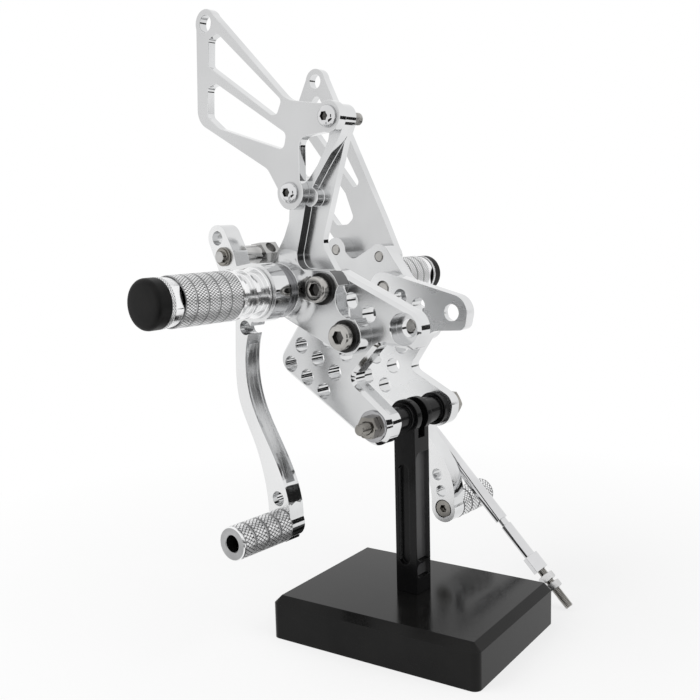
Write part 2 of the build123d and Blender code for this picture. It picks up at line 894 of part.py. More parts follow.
with BuildPart() as shift_heel_guard:
    with BuildSketch(unit_plane(SHIFT, bracket_outer, shift_tilt)) as shape:
        add(outline_of(
            *shift_guard_edge,
            shift_guard_fore,
            *shift_guard_foot,
            shift_guard_rear,
            *shift_guard_back,
        ))
        fillet(corner(shape, shift_guard_back[2]), shift_guard_back_fillet)
        fillet(corner(shape, shift_guard_edge[1]), shift_guard_fore_fillet)
        with Locations(shift_guard_lug):
            Circle(guard_lug_r)
        with Locations(shift_guard_rear, shift_guard_fore):
            Circle(shift_guard_foot_r)
        add(window(shift_window_top_fillet, *shift_window_top), mode=Mode.SUBTRACT)
        add(window(shift_window_low_fillet, *shift_window_low), mode=Mode.SUBTRACT)
        with Locations(shift_guard_lug):
            Circle(guard_lug_hole_r, mode=Mode.SUBTRACT)
        with Locations(shift_guard_rear, shift_guard_fore):
            Circle(guard_hole_r, mode=Mode.SUBTRACT)
    extrude(amount=outward(SHIFT, guard_thick))

with BuildPart() as shift_guard_screws:
    for at in (shift_guard_rear, shift_guard_fore):
        add(socket_screw(
            SHIFT, shift_tilt, at, guard_out, plate_outer - shift_screw_stop,
            m6, m6_head_r, m6_head_h, m6_socket,
        ))

with BuildPart() as shift_lever_bush:
    add(lever_bush(SHIFT, shift_tilt, shift_peg_at))

with BuildPart() as shift_peg:
    add(foot_peg(SHIFT, shift_tilt, shift_peg_at))

with BuildPart() as shift_peg_cap:
    add(peg_cap(SHIFT, shift_tilt, shift_peg_at))

with BuildPart() as shift_peg_bolt:
    add(peg_bolt(SHIFT, shift_tilt, shift_peg_at))

# Shift lever: eye, arm through the rod pivot, drilled toe end
with BuildPart() as shift_lever:
    with BuildSketch(unit_plane(SHIFT, lever_in, shift_tilt)) as shape:
        with BuildLine():
            rear = Spline(*shift_lever_rear)
            Line(rear @ 1, shift_lever_fore[0])
            fore = Spline(*shift_lever_fore)
            Line(fore @ 1, rear @ 0)
        make_face()
        with Locations(shift_toe_at):
            Circle(shift_lever_end_r)
        with Locations(shift_peg_at):
            Circle(lever_eye_r)
        with Locations(*shift_lever_holes):
            Circle(shift_lever_hole_r, mode=Mode.SUBTRACT)
    extrude(amount=outward(SHIFT, lever_thick))
    add(lever_cuts(SHIFT, shift_tilt, shift_peg_at, shift_toe_at), mode=Mode.SUBTRACT)
    add(
        barrel(SHIFT, shift_tilt, rod_at, lever_in, lever_out, ball_pin_r + fit_thread),
        mode=Mode.SUBTRACT,
    )

with BuildPart() as shift_toe_peg:
    add(toe_peg(SHIFT, shift_tilt, shift_toe_at))

with BuildPart() as shift_toe_screw:
    add(toe_screw(SHIFT, shift_tilt, shift_toe_at))

# Shift rod: pin in the lever, eye, polished bar, stud and lock nuts
rod_mid = lever_out + rod_offset + rod_eye_w / 2
with BuildPart() as rod_pin:
    cap_in = rod_mid + rod_eye_w / 2 + ball_cap_gap
    add(barrel(SHIFT, shift_tilt, rod_at, lever_in, cap_in, ball_pin_r))
    add(hex_bar(
        SHIFT, shift_tilt, rod_at, lever_out, lever_out + rod_offset - gap_face, ball_collar_flats,
    ))
    add(barrel(SHIFT, shift_tilt, rod_at, cap_in, cap_in + ball_cap_h, ball_cap_r))

turn = radians(shift_tilt)
rod_x = rod_at[0] * cos(turn) - rod_at[1] * sin(turn)
rod_z = bolt_height + rod_at[0] * sin(turn) + rod_at[1] * cos(turn)
rod_dir = (cos(radians(rod_slope)), 0, sin(radians(rod_slope)))


def rod_plane(along):
    return Plane(
        origin=(rod_x + along * rod_dir[0], rod_mid, rod_z + along * rod_dir[2]),
        x_dir=(0, 1, 0),
        z_dir=rod_dir,
    )


def rod_piece(start, end, radius):
    with BuildPart() as body:
        with BuildSketch(rod_plane(start)):
            Circle(radius)
        extrude(amount=end - start)
    return body.part


with BuildPart() as shift_rod:
    add(barrel(
        SHIFT, shift_tilt, rod_at, rod_mid - rod_eye_w / 2, rod_mid + rod_eye_w / 2, rod_eye_r,
    ))
    neck = rod_length - rod_neck_at
    add(rod_piece(rod_eye_r - rod_root, rod_eye_r + rod_root_h, rod_sleeve_r))
    add(rod_piece(rod_eye_r + rod_root_h, neck, rod_r))
    add(rod_piece(neck, neck + rod_neck_h, rod_neck_r))
    add(rod_piece(neck + rod_neck_h, rod_length, rod_sleeve_r))
    with BuildSketch(rod_plane(rod_length)):
        RegularPolygon(rod_collar_flats / 2, 6, major_radius=False)
    extrude(amount=rod_collar_h)
    add(
        barrel(
            SHIFT, shift_tilt, rod_at,
            rod_mid - rod_eye_w / 2, rod_mid + rod_eye_w / 2, ball_pin_r + fit_running,
        ),
        mode=Mode.SUBTRACT,
    )
    add(rod_piece(rod_length, rod_length + rod_collar_h, m5 + fit_thread), mode=Mode.SUBTRACT)

with BuildPart() as rod_stud:
    nuts_end = rod_length + rod_collar_h + rod_nut_at[1] + m5_nut_h
    add(rod_piece(rod_length, nuts_end, m5))
    add(rod_piece(nuts_end, nuts_end + rod_relief_h, rod_relief_r))
    add(rod_piece(nuts_end + rod_relief_h, rod_length + rod_collar_h + rod_stud_length, m5))

with BuildPart() as rod_lock_nuts:
    for along in rod_nut_at:
        with BuildSketch(rod_plane(rod_length + rod_collar_h + along)):
            RegularPolygon(m5_nut_flats / 2, 6, major_radius=False)
            Circle(m5 + fit_thread, mode=Mode.SUBTRACT)
        extrude(amount=m5_nut_h)

nodes = {
    "stand_base": stand_base,
    "stand_post": stand_post,
    "stand_stud": stand_stud,
    "stand_bolt": stand_bolt,
    "stand_nut": stand_nut,
    "stand_washers": stand_washers,
    "brake_spacer": brake_spacer,
    "shift_spacer": shift_spacer,
    "brake_plate": brake_plate,
    "brake_bracket": brake_bracket,
    "brake_bracket_screws": brake_bracket_screws,
    "brake_bracket_washers": brake_bracket_washers,
    "brake_heel_guard": brake_heel_guard,
    "brake_guard_screws": brake_guard_screws,
    "brake_lever_bush": brake_lever_bush,
    "brake_peg": brake_peg,
    "brake_peg_cap": brake_peg_cap,
    "brake_peg_bolt": brake_peg_bolt,
    "brake_lever": brake_lever,
    "brake_toe_peg": brake_toe_peg,
    "brake_toe_screw": brake_toe_screw,
    "push_rod_pivot": push_rod_pivot,
    "pivot_washer": pivot_washer,
    "pivot_clip": pivot_clip,
    "shift_plate": shift_plate,
    "shift_bracket": shift_bracket,
    "shift_bracket_screws": shift_bracket_screws,
    "shift_bracket_washers": shift_bracket_washers,
    "shift_heel_guard": shift_heel_guard,
    "shift_guard_screws": shift_guard_screws,
    "shift_lever_bush": shift_lever_bush,
    "shift_peg": shift_peg,
    "shift_peg_cap": shift_peg_cap,
    "shift_peg_bolt": shift_peg_bolt,
    "shift_lever": shift_lever,
    "shift_toe_peg": shift_toe_peg,
    "shift_toe_screw": shift_toe_screw,
    "rod_pin": rod_pin,
    "shift_rod": shift_rod,
    "rod_stud": rod_stud,
    "rod_lock_nuts": rod_lock_nuts,
}

os.makedirs("parts", exist_ok=True)
for name, block in nodes.items():
    block.part.label = name
    export_step(block.part, f"parts/{name}.step")
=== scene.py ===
import json
import math

import bmesh
import bpy
from mathutils import Matrix, Vector
from mathutils.bvhtree import BVHTree


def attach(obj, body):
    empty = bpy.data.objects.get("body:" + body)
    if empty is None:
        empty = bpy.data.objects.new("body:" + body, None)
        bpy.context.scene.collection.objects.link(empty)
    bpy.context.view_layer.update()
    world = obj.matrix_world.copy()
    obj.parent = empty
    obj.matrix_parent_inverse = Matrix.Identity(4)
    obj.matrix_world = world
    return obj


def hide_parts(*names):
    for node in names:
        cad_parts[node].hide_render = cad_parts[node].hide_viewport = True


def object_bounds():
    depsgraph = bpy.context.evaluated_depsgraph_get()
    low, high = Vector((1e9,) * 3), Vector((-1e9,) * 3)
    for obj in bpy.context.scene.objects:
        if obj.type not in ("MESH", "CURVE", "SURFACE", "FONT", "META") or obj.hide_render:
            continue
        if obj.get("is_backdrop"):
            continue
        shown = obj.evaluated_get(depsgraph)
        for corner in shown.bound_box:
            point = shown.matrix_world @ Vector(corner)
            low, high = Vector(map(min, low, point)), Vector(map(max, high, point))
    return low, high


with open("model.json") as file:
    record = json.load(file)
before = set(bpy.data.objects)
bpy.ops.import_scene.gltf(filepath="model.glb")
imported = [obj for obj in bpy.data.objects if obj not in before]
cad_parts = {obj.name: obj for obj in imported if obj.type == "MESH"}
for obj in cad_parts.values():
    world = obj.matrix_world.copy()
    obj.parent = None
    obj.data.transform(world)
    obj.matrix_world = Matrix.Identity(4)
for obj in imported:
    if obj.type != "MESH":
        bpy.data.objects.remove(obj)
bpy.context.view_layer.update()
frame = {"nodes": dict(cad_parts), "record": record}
print("frame loaded:", len(frame["nodes"]), "nodes")

mm = 0.001
mergeGap = 1e-5  # points nearer than this become one
ringGap = 1e-4  # slack for a point on a known ring
touch = 0.01  # slack for comparing lengths in mm
edgeSteps = 2
flatFacing = 0.95  # a face is flat when its normal lies this close to the axis
record = frame["record"]
bodyOf = {n: body for body, members in record["behaviour"]["bodies"].items() for n in members}
boltHeight = 117.0  # each unit is measured from the cross bolt
brakeSide = {"sign": -1, "tilt": 0.0}
shiftSide = {"sign": 1, "tilt": 9.5}
bracketBolts = ((-23.1, 67.8), (-8.9, 45.2))
pegSpots = {"brake_peg": (brakeSide, (-46, 67)), "shift_peg": (shiftSide, (-68.3, 76.3))}


# finishes

bumpDepth = 0.0001


def startFinish(name):
    finish = bpy.data.materials.new(name)
    finish.use_nodes = True
    tree = finish.node_tree
    shader = tree.nodes["Principled BSDF"]
    coord = tree.nodes.new("ShaderNodeTexCoord")
    return finish, tree, shader, coord.outputs["Object"]


def mapped(tree, source, scale):
    mapping = tree.nodes.new("ShaderNodeMapping")
    mapping.inputs["Scale"].default_value = scale
    tree.links.new(source, mapping.inputs["Vector"])
    return mapping.outputs["Vector"]


def grain(tree, source, scale, detail=2.0, roughness=0.5):
    noise = tree.nodes.new("ShaderNodeTexNoise")
    noise.inputs["Scale"].default_value = scale
    noise.inputs["Detail"].default_value = detail
    noise.inputs["Roughness"].default_value = roughness
    tree.links.new(source, noise.inputs["Vector"])
    return noise.outputs["Fac"]


def shades(tree, source, low, high, start=0.35, end=0.65):
    ramp = tree.nodes.new("ShaderNodeValToRGB")
    ramp.color_ramp.elements[0].position = start
    ramp.color_ramp.elements[1].position = end
    ramp.color_ramp.elements[0].color = (*low, 1)
    ramp.color_ramp.elements[1].color = (*high, 1)
    tree.links.new(source, ramp.inputs["Fac"])
    return ramp.outputs["Color"]


def span(tree, source, low, high, start=0.3, end=0.7):
    ranged = tree.nodes.new("ShaderNodeMapRange")
    ranged.inputs["From Min"].default_value = start
    ranged.inputs["From Max"].default_value = end
    ranged.inputs["To Min"].default_value = low
    ranged.inputs["To Max"].default_value = high
    tree.links.new(source, ranged.inputs["Value"])
    return ranged.outputs["Result"]


def relief(tree, shader, source, strength):
    bump = tree.nodes.new("ShaderNodeBump")
    bump.inputs["Strength"].default_value = strength
    bump.inputs["Distance"].default_value = bumpDepth
    tree.links.new(source, bump.inputs["Height"])
    tree.links.new(bump.outputs["Normal"], shader.inputs["Normal"])


def metalFinish(name, look):
    finish, tree, shader, place = startFinish(name)
    shader.inputs["Metallic"].default_value = 1.0
    cloud = grain(tree, place, look["cloud"], 3.0)
    tree.links.new(shades(tree, cloud, look["dark"], look["light"]), shader.inputs["Base Color"])
    lines = grain(tree, mapped(tree, place, look["lines"]), 1.0, 2.0, 0.6)
    tree.links.new(span(tree, lines, *look["gloss"]), shader.inputs["Roughness"])
    relief(tree, shader, lines, look["cut"])
    return finish


def blackFinish(name, look):
    finish, tree, shader, place = startFinish(name)
    shader.inputs["Metallic"].default_value = 0.0
    shader.inputs["Specular IOR Level"].default_value = look["shine"]
    cloud = grain(tree, place, look["cloud"], 4.0, 0.6)
    tree.links.new(shades(tree, cloud, look["dark"], look["light"]), shader.inputs["Base Color"])
    tree.links.new(span(tree, cloud, *look["gloss"]), shader.inputs["Roughness"])
    speck = grain(tree, place, look["speck"], 2.0)
    relief(tree, shader, speck, look["cut"])
    return finish


metalLooks = {
    "plateFace": {
        "dark": (0.58, 0.585, 0.59), "light": (0.69, 0.695, 0.70), "cloud": 16.0,
        "lines": (60, 60, 90), "gloss": (0.2, 0.27), "cut": 0.02,
    },
    # lighter copy of the plate colour for the shift plate's inner face: painted light
    "plateInner": {
        "dark": (0.74, 0.745, 0.75), "light": (0.82, 0.825, 0.83), "cloud": 16.0,
        "lines": (60, 60, 90), "gloss": (0.24, 0.31), "cut": 0.02,
    },
    "plateWall": {
        "dark": (0.66, 0.665, 0.67), "light": (0.76, 0.765, 0.77), "cloud": 30.0,
        "lines": (120, 1600, 120), "gloss": (0.05, 0.11), "cut": 0.02,
    },
    "guardFace": {
        "dark": (0.59, 0.593, 0.597), "light": (0.64, 0.643, 0.647), "cloud": 20.0,
        "lines": (90, 60, 60), "gloss": (0.27, 0.33), "cut": 0.01,
    },
    "leverFace": {
        "dark": (0.76, 0.763, 0.766), "light": (0.83, 0.833, 0.836), "cloud": 18.0,
        "lines": (90, 60, 60), "gloss": (0.22, 0.28), "cut": 0.01,
    },
    # dark copy of the plate metal for the bracket recess's deep wall: painted shade
    "recessPaintedShade": {
        "dark": (0.10, 0.101, 0.103), "light": (0.17, 0.171, 0.173), "cloud": 30.0,
        "lines": (120, 1600, 120), "gloss": (0.1, 0.18), "cut": 0.02,
    },
    "knurlAlu": {
        "dark": (0.86, 0.862, 0.865), "light": (0.93, 0.932, 0.935), "cloud": 60.0,
        "lines": (300, 1500, 300), "gloss": (0.14, 0.22), "cut": 0.03,
    },
    # lighter copy of the knurl colour for the diamond tops: painted highlight
    "knurlTopHighlight": {
        "dark": (0.91, 0.912, 0.915), "light": (0.96, 0.962, 0.965), "cloud": 60.0,
        "lines": (300, 1500, 300), "gloss": (0.36, 0.44), "cut": 0.03,
    },
    # dark copy of the knurl colour for the knurl flanks, band ends and toe peg ring lines: painted shade
    "knurlValleyShade": {
        "dark": (0.36, 0.362, 0.365), "light": (0.46, 0.462, 0.465), "cloud": 90.0,
        "lines": (900, 900, 900), "gloss": (0.28, 0.4), "cut": 0.05,
    },
    "screwSteel": {
        "dark": (0.36, 0.352, 0.338), "light": (0.50, 0.49, 0.472), "cloud": 90.0,
        "lines": (500, 2500, 500), "gloss": (0.12, 0.24), "cut": 0.05,
    },
    "boltSteel": {
        "dark": (0.22, 0.211, 0.195), "light": (0.33, 0.318, 0.296), "cloud": 90.0,
        "lines": (500, 2500, 500), "gloss": (0.12, 0.22), "cut": 0.05,
    },
    # dark metal for the socket walls and floors: painted shade
    "socketPaintedShade": {
        "dark": (0.09, 0.088, 0.085), "light": (0.15, 0.147, 0.142), "cloud": 90.0,
        "lines": (900, 900, 900), "gloss": (0.25, 0.4), "cut": 0.03,
    },
    "pivotSteel": {
        "dark": (0.40, 0.398, 0.392), "light": (0.54, 0.537, 0.53), "cloud": 90.0,
        "lines": (500, 2500, 500), "gloss": (0.08, 0.16), "cut": 0.04,
    },
    "nutSteel": {
        "dark": (0.60, 0.60, 0.60), "light": (0.72, 0.72, 0.72), "cloud": 90.0,
        "lines": (500, 2500, 500), "gloss": (0.1, 0.2), "cut": 0.04,
    },
    "bushSteel": {
        "dark": (0.30, 0.30, 0.31), "light": (0.42, 0.42, 0.43), "cloud": 60.0,
        "lines": (200, 3000, 200), "gloss": (0.1, 0.2), "cut": 0.06,
    },
    "rodChrome": {
        "dark": (0.66, 0.662, 0.67), "light": (0.74, 0.742, 0.75), "cloud": 40.0,
        "lines": (900, 900, 900), "gloss": (0.05, 0.12), "cut": 0.02,
    },
}
blackLooks = {
    "baseBlack": {
        "dark": (0.003, 0.003, 0.003), "light": (0.008, 0.0078, 0.0075), "cloud": 22.0, "shine": 0.16,
        "gloss": (0.1, 0.2), "speck": 900.0, "cut": 0.015,
    },
    "postBlack": {
        "dark": (0.003, 0.003, 0.0032), "light": (0.006, 0.006, 0.0063), "cloud": 40.0, "shine": 0.18,
        "gloss": (0.16, 0.26), "speck": 1500.0, "cut": 0.03,
    },
    "channelBlack": {
        "dark": (0.05, 0.05, 0.051), "light": (0.07, 0.07, 0.071), "cloud": 40.0, "shine": 0.3,
        "gloss": (0.26, 0.36), "speck": 1500.0, "cut": 0.04,
    },
    "capBlack": {
        "dark": (0.005, 0.005, 0.005), "light": (0.010, 0.0097, 0.0095), "cloud": 160.0, "shine": 0.12,
        "gloss": (0.36, 0.5), "speck": 1800.0, "cut": 0.08,
    },
    # the black washers' own colour, also used as painted shade in the toe peg bores
    "washerBlack": {
        "dark": (0.005, 0.005, 0.005), "light": (0.012, 0.012, 0.012), "cloud": 200.0, "shine": 0.3,
        "gloss": (0.2, 0.34), "speck": 1500.0, "cut": 0.06,
    },
}
finishes = {name: metalFinish(name, look) for name, look in metalLooks.items()}
finishes.update({name: blackFinish(name, look) for name, look in blackLooks.items()})
print("finishes made:", len(finishes))


# placing and shaping

edgeLimits = {"sharp": math.radians(30.0), "smooth": math.radians(35.0)}


def unitPlace(side, at, depth=0.0):
    turn = math.radians(side["tilt"])
    along = Vector((math.cos(turn), 0, math.sin(turn)))
    out = Vector((0, side["sign"], 0))
    up = out.cross(along)
    lift = Vector((-math.sin(turn), 0, math.cos(turn)))
    spot = along * at[0] + lift * at[1] + out * depth + Vector((0, 0, boltHeight))
    place = Matrix((along, up, out)).transposed().to_4x4()
    place.translation = spot
    return Matrix.Scale(mm, 4) @ place


def turned(bm, profile, steps):
    ring = [bm.verts.new((r, 0, z)) for r, z in profile]
    edges = [bm.edges.new(pair) for pair in zip(ring, ring[1:])]
    bmesh.ops.spin(
        bm, geom=ring + edges, cent=(0, 0, 0), axis=(0, 0, 1), angle=2 * math.pi,
        steps=steps, use_merge=True, use_duplicate=False,
    )


def cornerReach(across):
    return across / 2 / math.cos(math.pi / 6)


def sixSided(bm, across, rings, chamfer=0.0):
    half = across / 2
    for v in bm.verts:
        r = math.hypot(v.co.x, v.co.y)
        for ringR, ringZ, slope in rings:
            if abs(r - ringR) < ringGap and abs(v.co.z - ringZ) < ringGap:
                turn = math.atan2(v.co.y, v.co.x) % (math.pi / 3) - math.pi / 6
                reach = half / math.cos(turn)
                v.co.x *= reach / r
                v.co.y *= reach / r
                v.co.z += slope * (reach - half) * chamfer
                break


def softenEdges(bm, edges, offset, segments):
    bmesh.ops.bevel(
        bm, geom=edges, offset=offset, offset_type="OFFSET", affect="EDGES", segments=segments,
        profile=0.5, material=-1, clamp_overlap=True, loop_slide=False,
    )


def sharpEdges(bm):
    return [e for e in bm.edges if len(e.link_faces) == 2 and e.calc_face_angle(0) > edgeLimits["sharp"]]


def closeShape(bm):
    bmesh.ops.remove_doubles(bm, verts=bm.verts, dist=mergeGap)
    bmesh.ops.recalc_face_normals(bm, faces=bm.faces)
    if bm.calc_volume(signed=True) < 0:
        bmesh.ops.reverse_faces(bm, faces=bm.faces)


def shapeInto(target, part, place):
    closeShape(part)
    bmesh.ops.transform(part, matrix=place, verts=part.verts)
    holder = bpy.data.meshes.new("holder")
    part.to_mesh(holder)
    part.free()
    target.from_mesh(holder)
    bpy.data.meshes.remove(holder)


def turnedInto(target, place, profile, steps):
    part = bmesh.new()
    turned(part, profile, steps)
    shapeInto(target, part, place)


def makePiece(bm, name, finish, node):
    for face in bm.faces:
        face.smooth = True
    for edge in bm.edges:
        gentle = len(edge.link_faces) == 2 and edge.calc_face_angle(0) < edgeLimits["smooth"]
        edge.smooth = edge.smooth and gentle
    mesh = bpy.data.meshes.new(name)
    bm.to_mesh(mesh)
    bm.free()
    for look in finish if isinstance(finish, tuple) else (finish,):
        mesh.materials.append(finishes[look])
    piece = bpy.data.objects.new(name, mesh)
    bpy.context.scene.collection.objects.link(piece)
    weighted = piece.modifiers.new("evenShading", "WEIGHTED_NORMAL")
    weighted.keep_sharp = True
    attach(piece, bodyOf[node])
    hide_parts(node)


def camel(node):
    words = node.split("_")
    return words[0] + "".join(w.capitalize() for w in words[1:])


# stand base, a block with a sloped rim

baseBlock = {
    "size": (120.0, 92.0, 22.7), "turn": 5.29, "corner": 4.0, "cornerSteps": 8, "slope": 3.9, "edge": 0.4,
}
bm = bmesh.new()
bmesh.ops.create_cube(bm, size=1)
bmesh.ops.scale(bm, vec=baseBlock["size"], verts=bm.verts)
bmesh.ops.translate(bm, vec=(0, 0, baseBlock["size"][2] / 2), verts=bm.verts)
uprights = [e for e in bm.edges if abs(e.verts[0].co.z - e.verts[1].co.z) > 1]
softenEdges(bm, uprights, baseBlock["corner"], baseBlock["cornerSteps"])
rim = [e for e in sharpEdges(bm) if min(v.co.z for v in e.verts) > baseBlock["size"][2] - touch]
softenEdges(bm, rim, baseBlock["slope"], 1)
softenEdges(bm, sharpEdges(bm), baseBlock["edge"], edgeSteps)
turnBase = Matrix.Rotation(math.radians(baseBlock["turn"]), 4, "Z")
bmesh.ops.transform(bm, matrix=Matrix.Scale(mm, 4) @ turnBase, verts=bm.verts)
makePiece(bm, "standBase", "baseBlack", "stand_base")
print("stand base cut")


# milled pieces: the frame's own shape with broken edges

milled = {
    "stand_post": {"edge": 0.3, "finish": ("postBlack", "channelBlack"), "channel": True},
    "brake_plate": {"edge": 0.3, "finish": ("plateFace", "plateWall")},
    "shift_plate": {"edge": 0.3, "finish": ("plateFace", "plateWall", "plateInner"), "inner": -1},
    "brake_bracket": {
        "edge": 0.4, "finish": ("plateFace", "plateWall", "recessPaintedShade"), "cove": True, "recess": True,
    },
    "shift_bracket": {"edge": 0.4, "finish": ("plateFace", "plateWall")},
    "brake_heel_guard": {"edge": 0.35, "finish": ("guardFace", "plateWall")},
    "shift_heel_guard": {"edge": 0.35, "finish": ("guardFace", "plateWall")},
    "brake_lever": {"edge": 0.45, "finish": ("leverFace", "plateWall")},
    "shift_lever": {"edge": 0.45, "finish": ("leverFace", "plateWall")},
    "brake_spacer": {"edge": 0.3, "finish": "postBlack"},
    "shift_spacer": {"edge": 0.3, "finish": "postBlack"},
    "stand_washers": {"edge": 0.2, "finish": "bushSteel"},
    "brake_bracket_washers": {"edge": 0.25, "finish": "washerBlack"},
    "shift_bracket_washers": {"edge": 0.25, "finish": "washerBlack"},
    "brake_lever_bush": {"edge": 0.3, "finish": "bushSteel"},
    "shift_lever_bush": {"edge": 0.3, "finish": "bushSteel"},
    "push_rod_pivot": {"edge": 0.35, "finish": "pivotSteel"},
    "pivot_washer": {"edge": 0.15, "finish": "boltSteel"},
    "pivot_clip": {"edge": 0.15, "finish": "boltSteel"},
    "rod_pin": {"edge": 0.25, "finish": "screwSteel"},
    "shift_rod": {"edge": 0.3, "finish": "rodChrome"},
    "brake_toe_screw": {"edge": 0.2, "finish": "boltSteel"},
    "shift_toe_screw": {"edge": 0.2, "finish": "boltSteel"},
}
flatWork = {"merge": 2e-6, "level": 0.3, "normalDigits": 3, "heightDigits": 6, "corners": 5}

eyeCorners = {  # the plates' two eyes run out round where they meet the notch
    "spots": ((25.2, 38.9), (12.1, 3.7)), "find": 3.0, "round": 5.0, "steps": 10, "merge": 0.02,
    "sides": {"brake_plate": brakeSide, "shift_plate": shiftSide},
}


def roundEyes(bm, side):
    for at in eyeCorners["spots"]:
        spot = unitPlace(side, at).translation
        reach = eyeCorners["find"] * mm
        near = {v for v in bm.verts if math.hypot(v.co.x - spot.x, v.co.z - spot.z) < reach}
        upright = [
            e for e in bm.edges if near.issuperset(e.verts) and abs(e.verts[0].co.y - e.verts[1].co.y) > mm
        ]
        softenEdges(bm, upright, eyeCorners["round"] * mm, eyeCorners["steps"])
    bmesh.ops.remove_doubles(bm, verts=bm.verts, dist=eyeCorners["merge"] * mm)
    bmesh.ops.dissolve_degenerate(bm, dist=eyeCorners["merge"] * mm, edges=bm.edges)


postWall = {  # thin far wall that closes the side channel and the dimple below it
    "x": (3.8, 6.48), "y": (5.7, 6.48), "spans": ((39.6, 98.6), (30.9, 39.1)), "edge": 0.1, "floor": 4.5,
    "slack": 0.05,
}


def addPostWalls(bm):
    for rise in postWall["spans"]:
        part = bmesh.new()
        bmesh.ops.create_cube(part, size=1)
        sides = (postWall["x"], postWall["y"], rise)
        bmesh.ops.scale(part, vec=[high - low for low, high in sides], verts=part.verts)
        bmesh.ops.translate(part, vec=[(high + low) / 2 for low, high in sides], verts=part.verts)
        softenEdges(part, part.edges, postWall["edge"], edgeSteps)
        shapeInto(bm, part, Matrix.Scale(mm, 4))
    bm.normal_update()
    wall = postWall["y"][0] * mm
    for face in bm.faces:  # floor and far wall of the channel, milled after the coat
        spot = face.calc_center_median()
        floorFace = face.normal.x > flatFacing and spot.x < postWall["floor"] * mm
        wallFace = face.normal.y < -flatFacing and abs(spot.y - wall) < postWall["slack"] * mm
        face.material_index = int(floorFace or wallFace)


bossCove = {  # hollow fillet round the peg boss, narrower where an edge or a washer is near
    "spot": pegSpots["brake_peg"][1], "boss": 13.7, "face": 41.0, "height": 6.2, "reach": 6.5, "rim": 0.5,
    "sunk": 0.4, "inside": 2.0, "below": 1.0, "least": 0.2, "washer": 8.3, "around": 144, "steps": 10,
}

armRecess = {"y": (-40.9, -36.2), "z": (188.0, 227.0), "facing": 0.4}  # its deep wall gets painted shade, a dark copy of the plate metal


def paintRecessShade(bm):
    (front, back), (low, high) = armRecess["y"], armRecess["z"]
    for face in bm.faces:
        spot = face.calc_center_median() / mm
        if face.normal.x > armRecess["facing"] and front < spot.y < back and low < spot.z < high:
            # painted shade: the recess's deep wall takes the dark metal
            face.material_index = 2


def addCove(bm):
    shell = BVHTree.FromBMesh(bm)
    place = unitPlace(brakeSide, bossCove["spot"])
    boss, face, height, inside = (bossCove[k] for k in ("boss", "face", "height", "inside"))

    def room(way):
        start = place @ (way * (boss - inside) + Vector((0, 0, face - bossCove["below"])))
        spot = shell.ray_cast(start, (place.to_3x3() @ way).normalized())[0]
        reach = (spot - start).length / mm + boss - inside - bossCove["rim"] if spot else boss
        for at in bracketBolts:
            across = Vector((at[0] - bossCove["spot"][0], at[1] - bossCove["spot"][1], 0))
            ahead = across.dot(way)
            chord = ahead ** 2 - across.length_squared + bossCove["washer"] ** 2
            if ahead > 0 and chord > 0:
                reach = min(reach, ahead - math.sqrt(chord))
        return max(bossCove["least"], min(bossCove["reach"], reach - boss))

    turns = [math.pi / 2 * k / bossCove["steps"] for k in range(bossCove["steps"] + 1)]
    arc = [(boss + 1 - math.sin(t), face + height * (1 - math.cos(t))) for t in turns]
    low, inner = face - bossCove["sunk"], boss - bossCove["sunk"]
    profile = ((inner, low), (boss + 1, low), *arc, (inner, face + height), (inner, low))
    part = bmesh.new()
    turned(part, profile, bossCove["around"])
    for v in part.verts:  # the unit-wide hollow is stretched to the room there is
        r = math.hypot(v.co.x, v.co.y)
        if r > boss + ringGap:
            way = Vector((v.co.x, v.co.y, 0)) / r
            v.co += way * (r - boss) * (room(way) - 1)
    shapeInto(bm, part, place)


def refillFlats(bm):  # flat faces with holes are filled again between their broken edges
    bm.normal_update()
    flats = {}
    for face in bm.faces:
        height = face.normal.dot(face.verts[0].co)
        key = [round(v, flatWork["normalDigits"]) for v in face.normal]
        flats.setdefault((*key, round(height, flatWork["heightDigits"])), []).append(face)
    for faces in flats.values():
        if max(len(f.verts) for f in faces) < flatWork["corners"]:
            continue
        within = set(faces)
        facing = faces[0].normal.copy()
        shares = {e: sum(f in within for f in e.link_faces) for f in faces for e in f.edges}
        border = [e for e, share in shares.items() if share == 1]
        inner = [e for e, share in shares.items() if share == 2]
        bmesh.ops.delete(bm, geom=faces, context="FACES_ONLY")
        bmesh.ops.delete(bm, geom=inner, context="EDGES")
        bmesh.ops.triangle_fill(bm, use_beauty=True, use_dissolve=False, edges=border, normal=facing)
        for edge in border:
            edge.smooth = False
    bmesh.ops.recalc_face_normals(bm, faces=bm.faces)
    bm.normal_update()


for node, work in milled.items():
    bm = bmesh.new()
    bm.from_mesh(frame["nodes"][node].data)
    bmesh.ops.remove_doubles(bm, verts=bm.verts, dist=flatWork["merge"])
    bmesh.ops.dissolve_limit(bm, angle_limit=math.radians(flatWork["level"]), verts=bm.verts, edges=bm.edges)
    if node in eyeCorners["sides"]:
        roundEyes(bm, eyeCorners["sides"][node])
    for edge in bm.edges:
        edge.smooth = True
    softenEdges(bm, sharpEdges(bm), work["edge"] * mm, edgeSteps)
    refillFlats(bm)
    if "channel" in work:
        addPostWalls(bm)
    elif isinstance(work["finish"], tuple):  # flat faces first, contour walls second
        for face in bm.faces:
            face.material_index = 0 if abs(face.normal.y) > flatFacing else 1
            # painted light: the shift plate's inner flat face takes a lighter copy of the plate colour
            if face.normal.y * work.get("inner", 0) > flatFacing:
                face.material_index = 2
    if "recess" in work:
        paintRecessShade(bm)
    if "cove" in work:
        addCove(bm)
    makePiece(bm, camel(node), work["finish"], node)
print("milled pieces:", len(milled))


# knurled grips

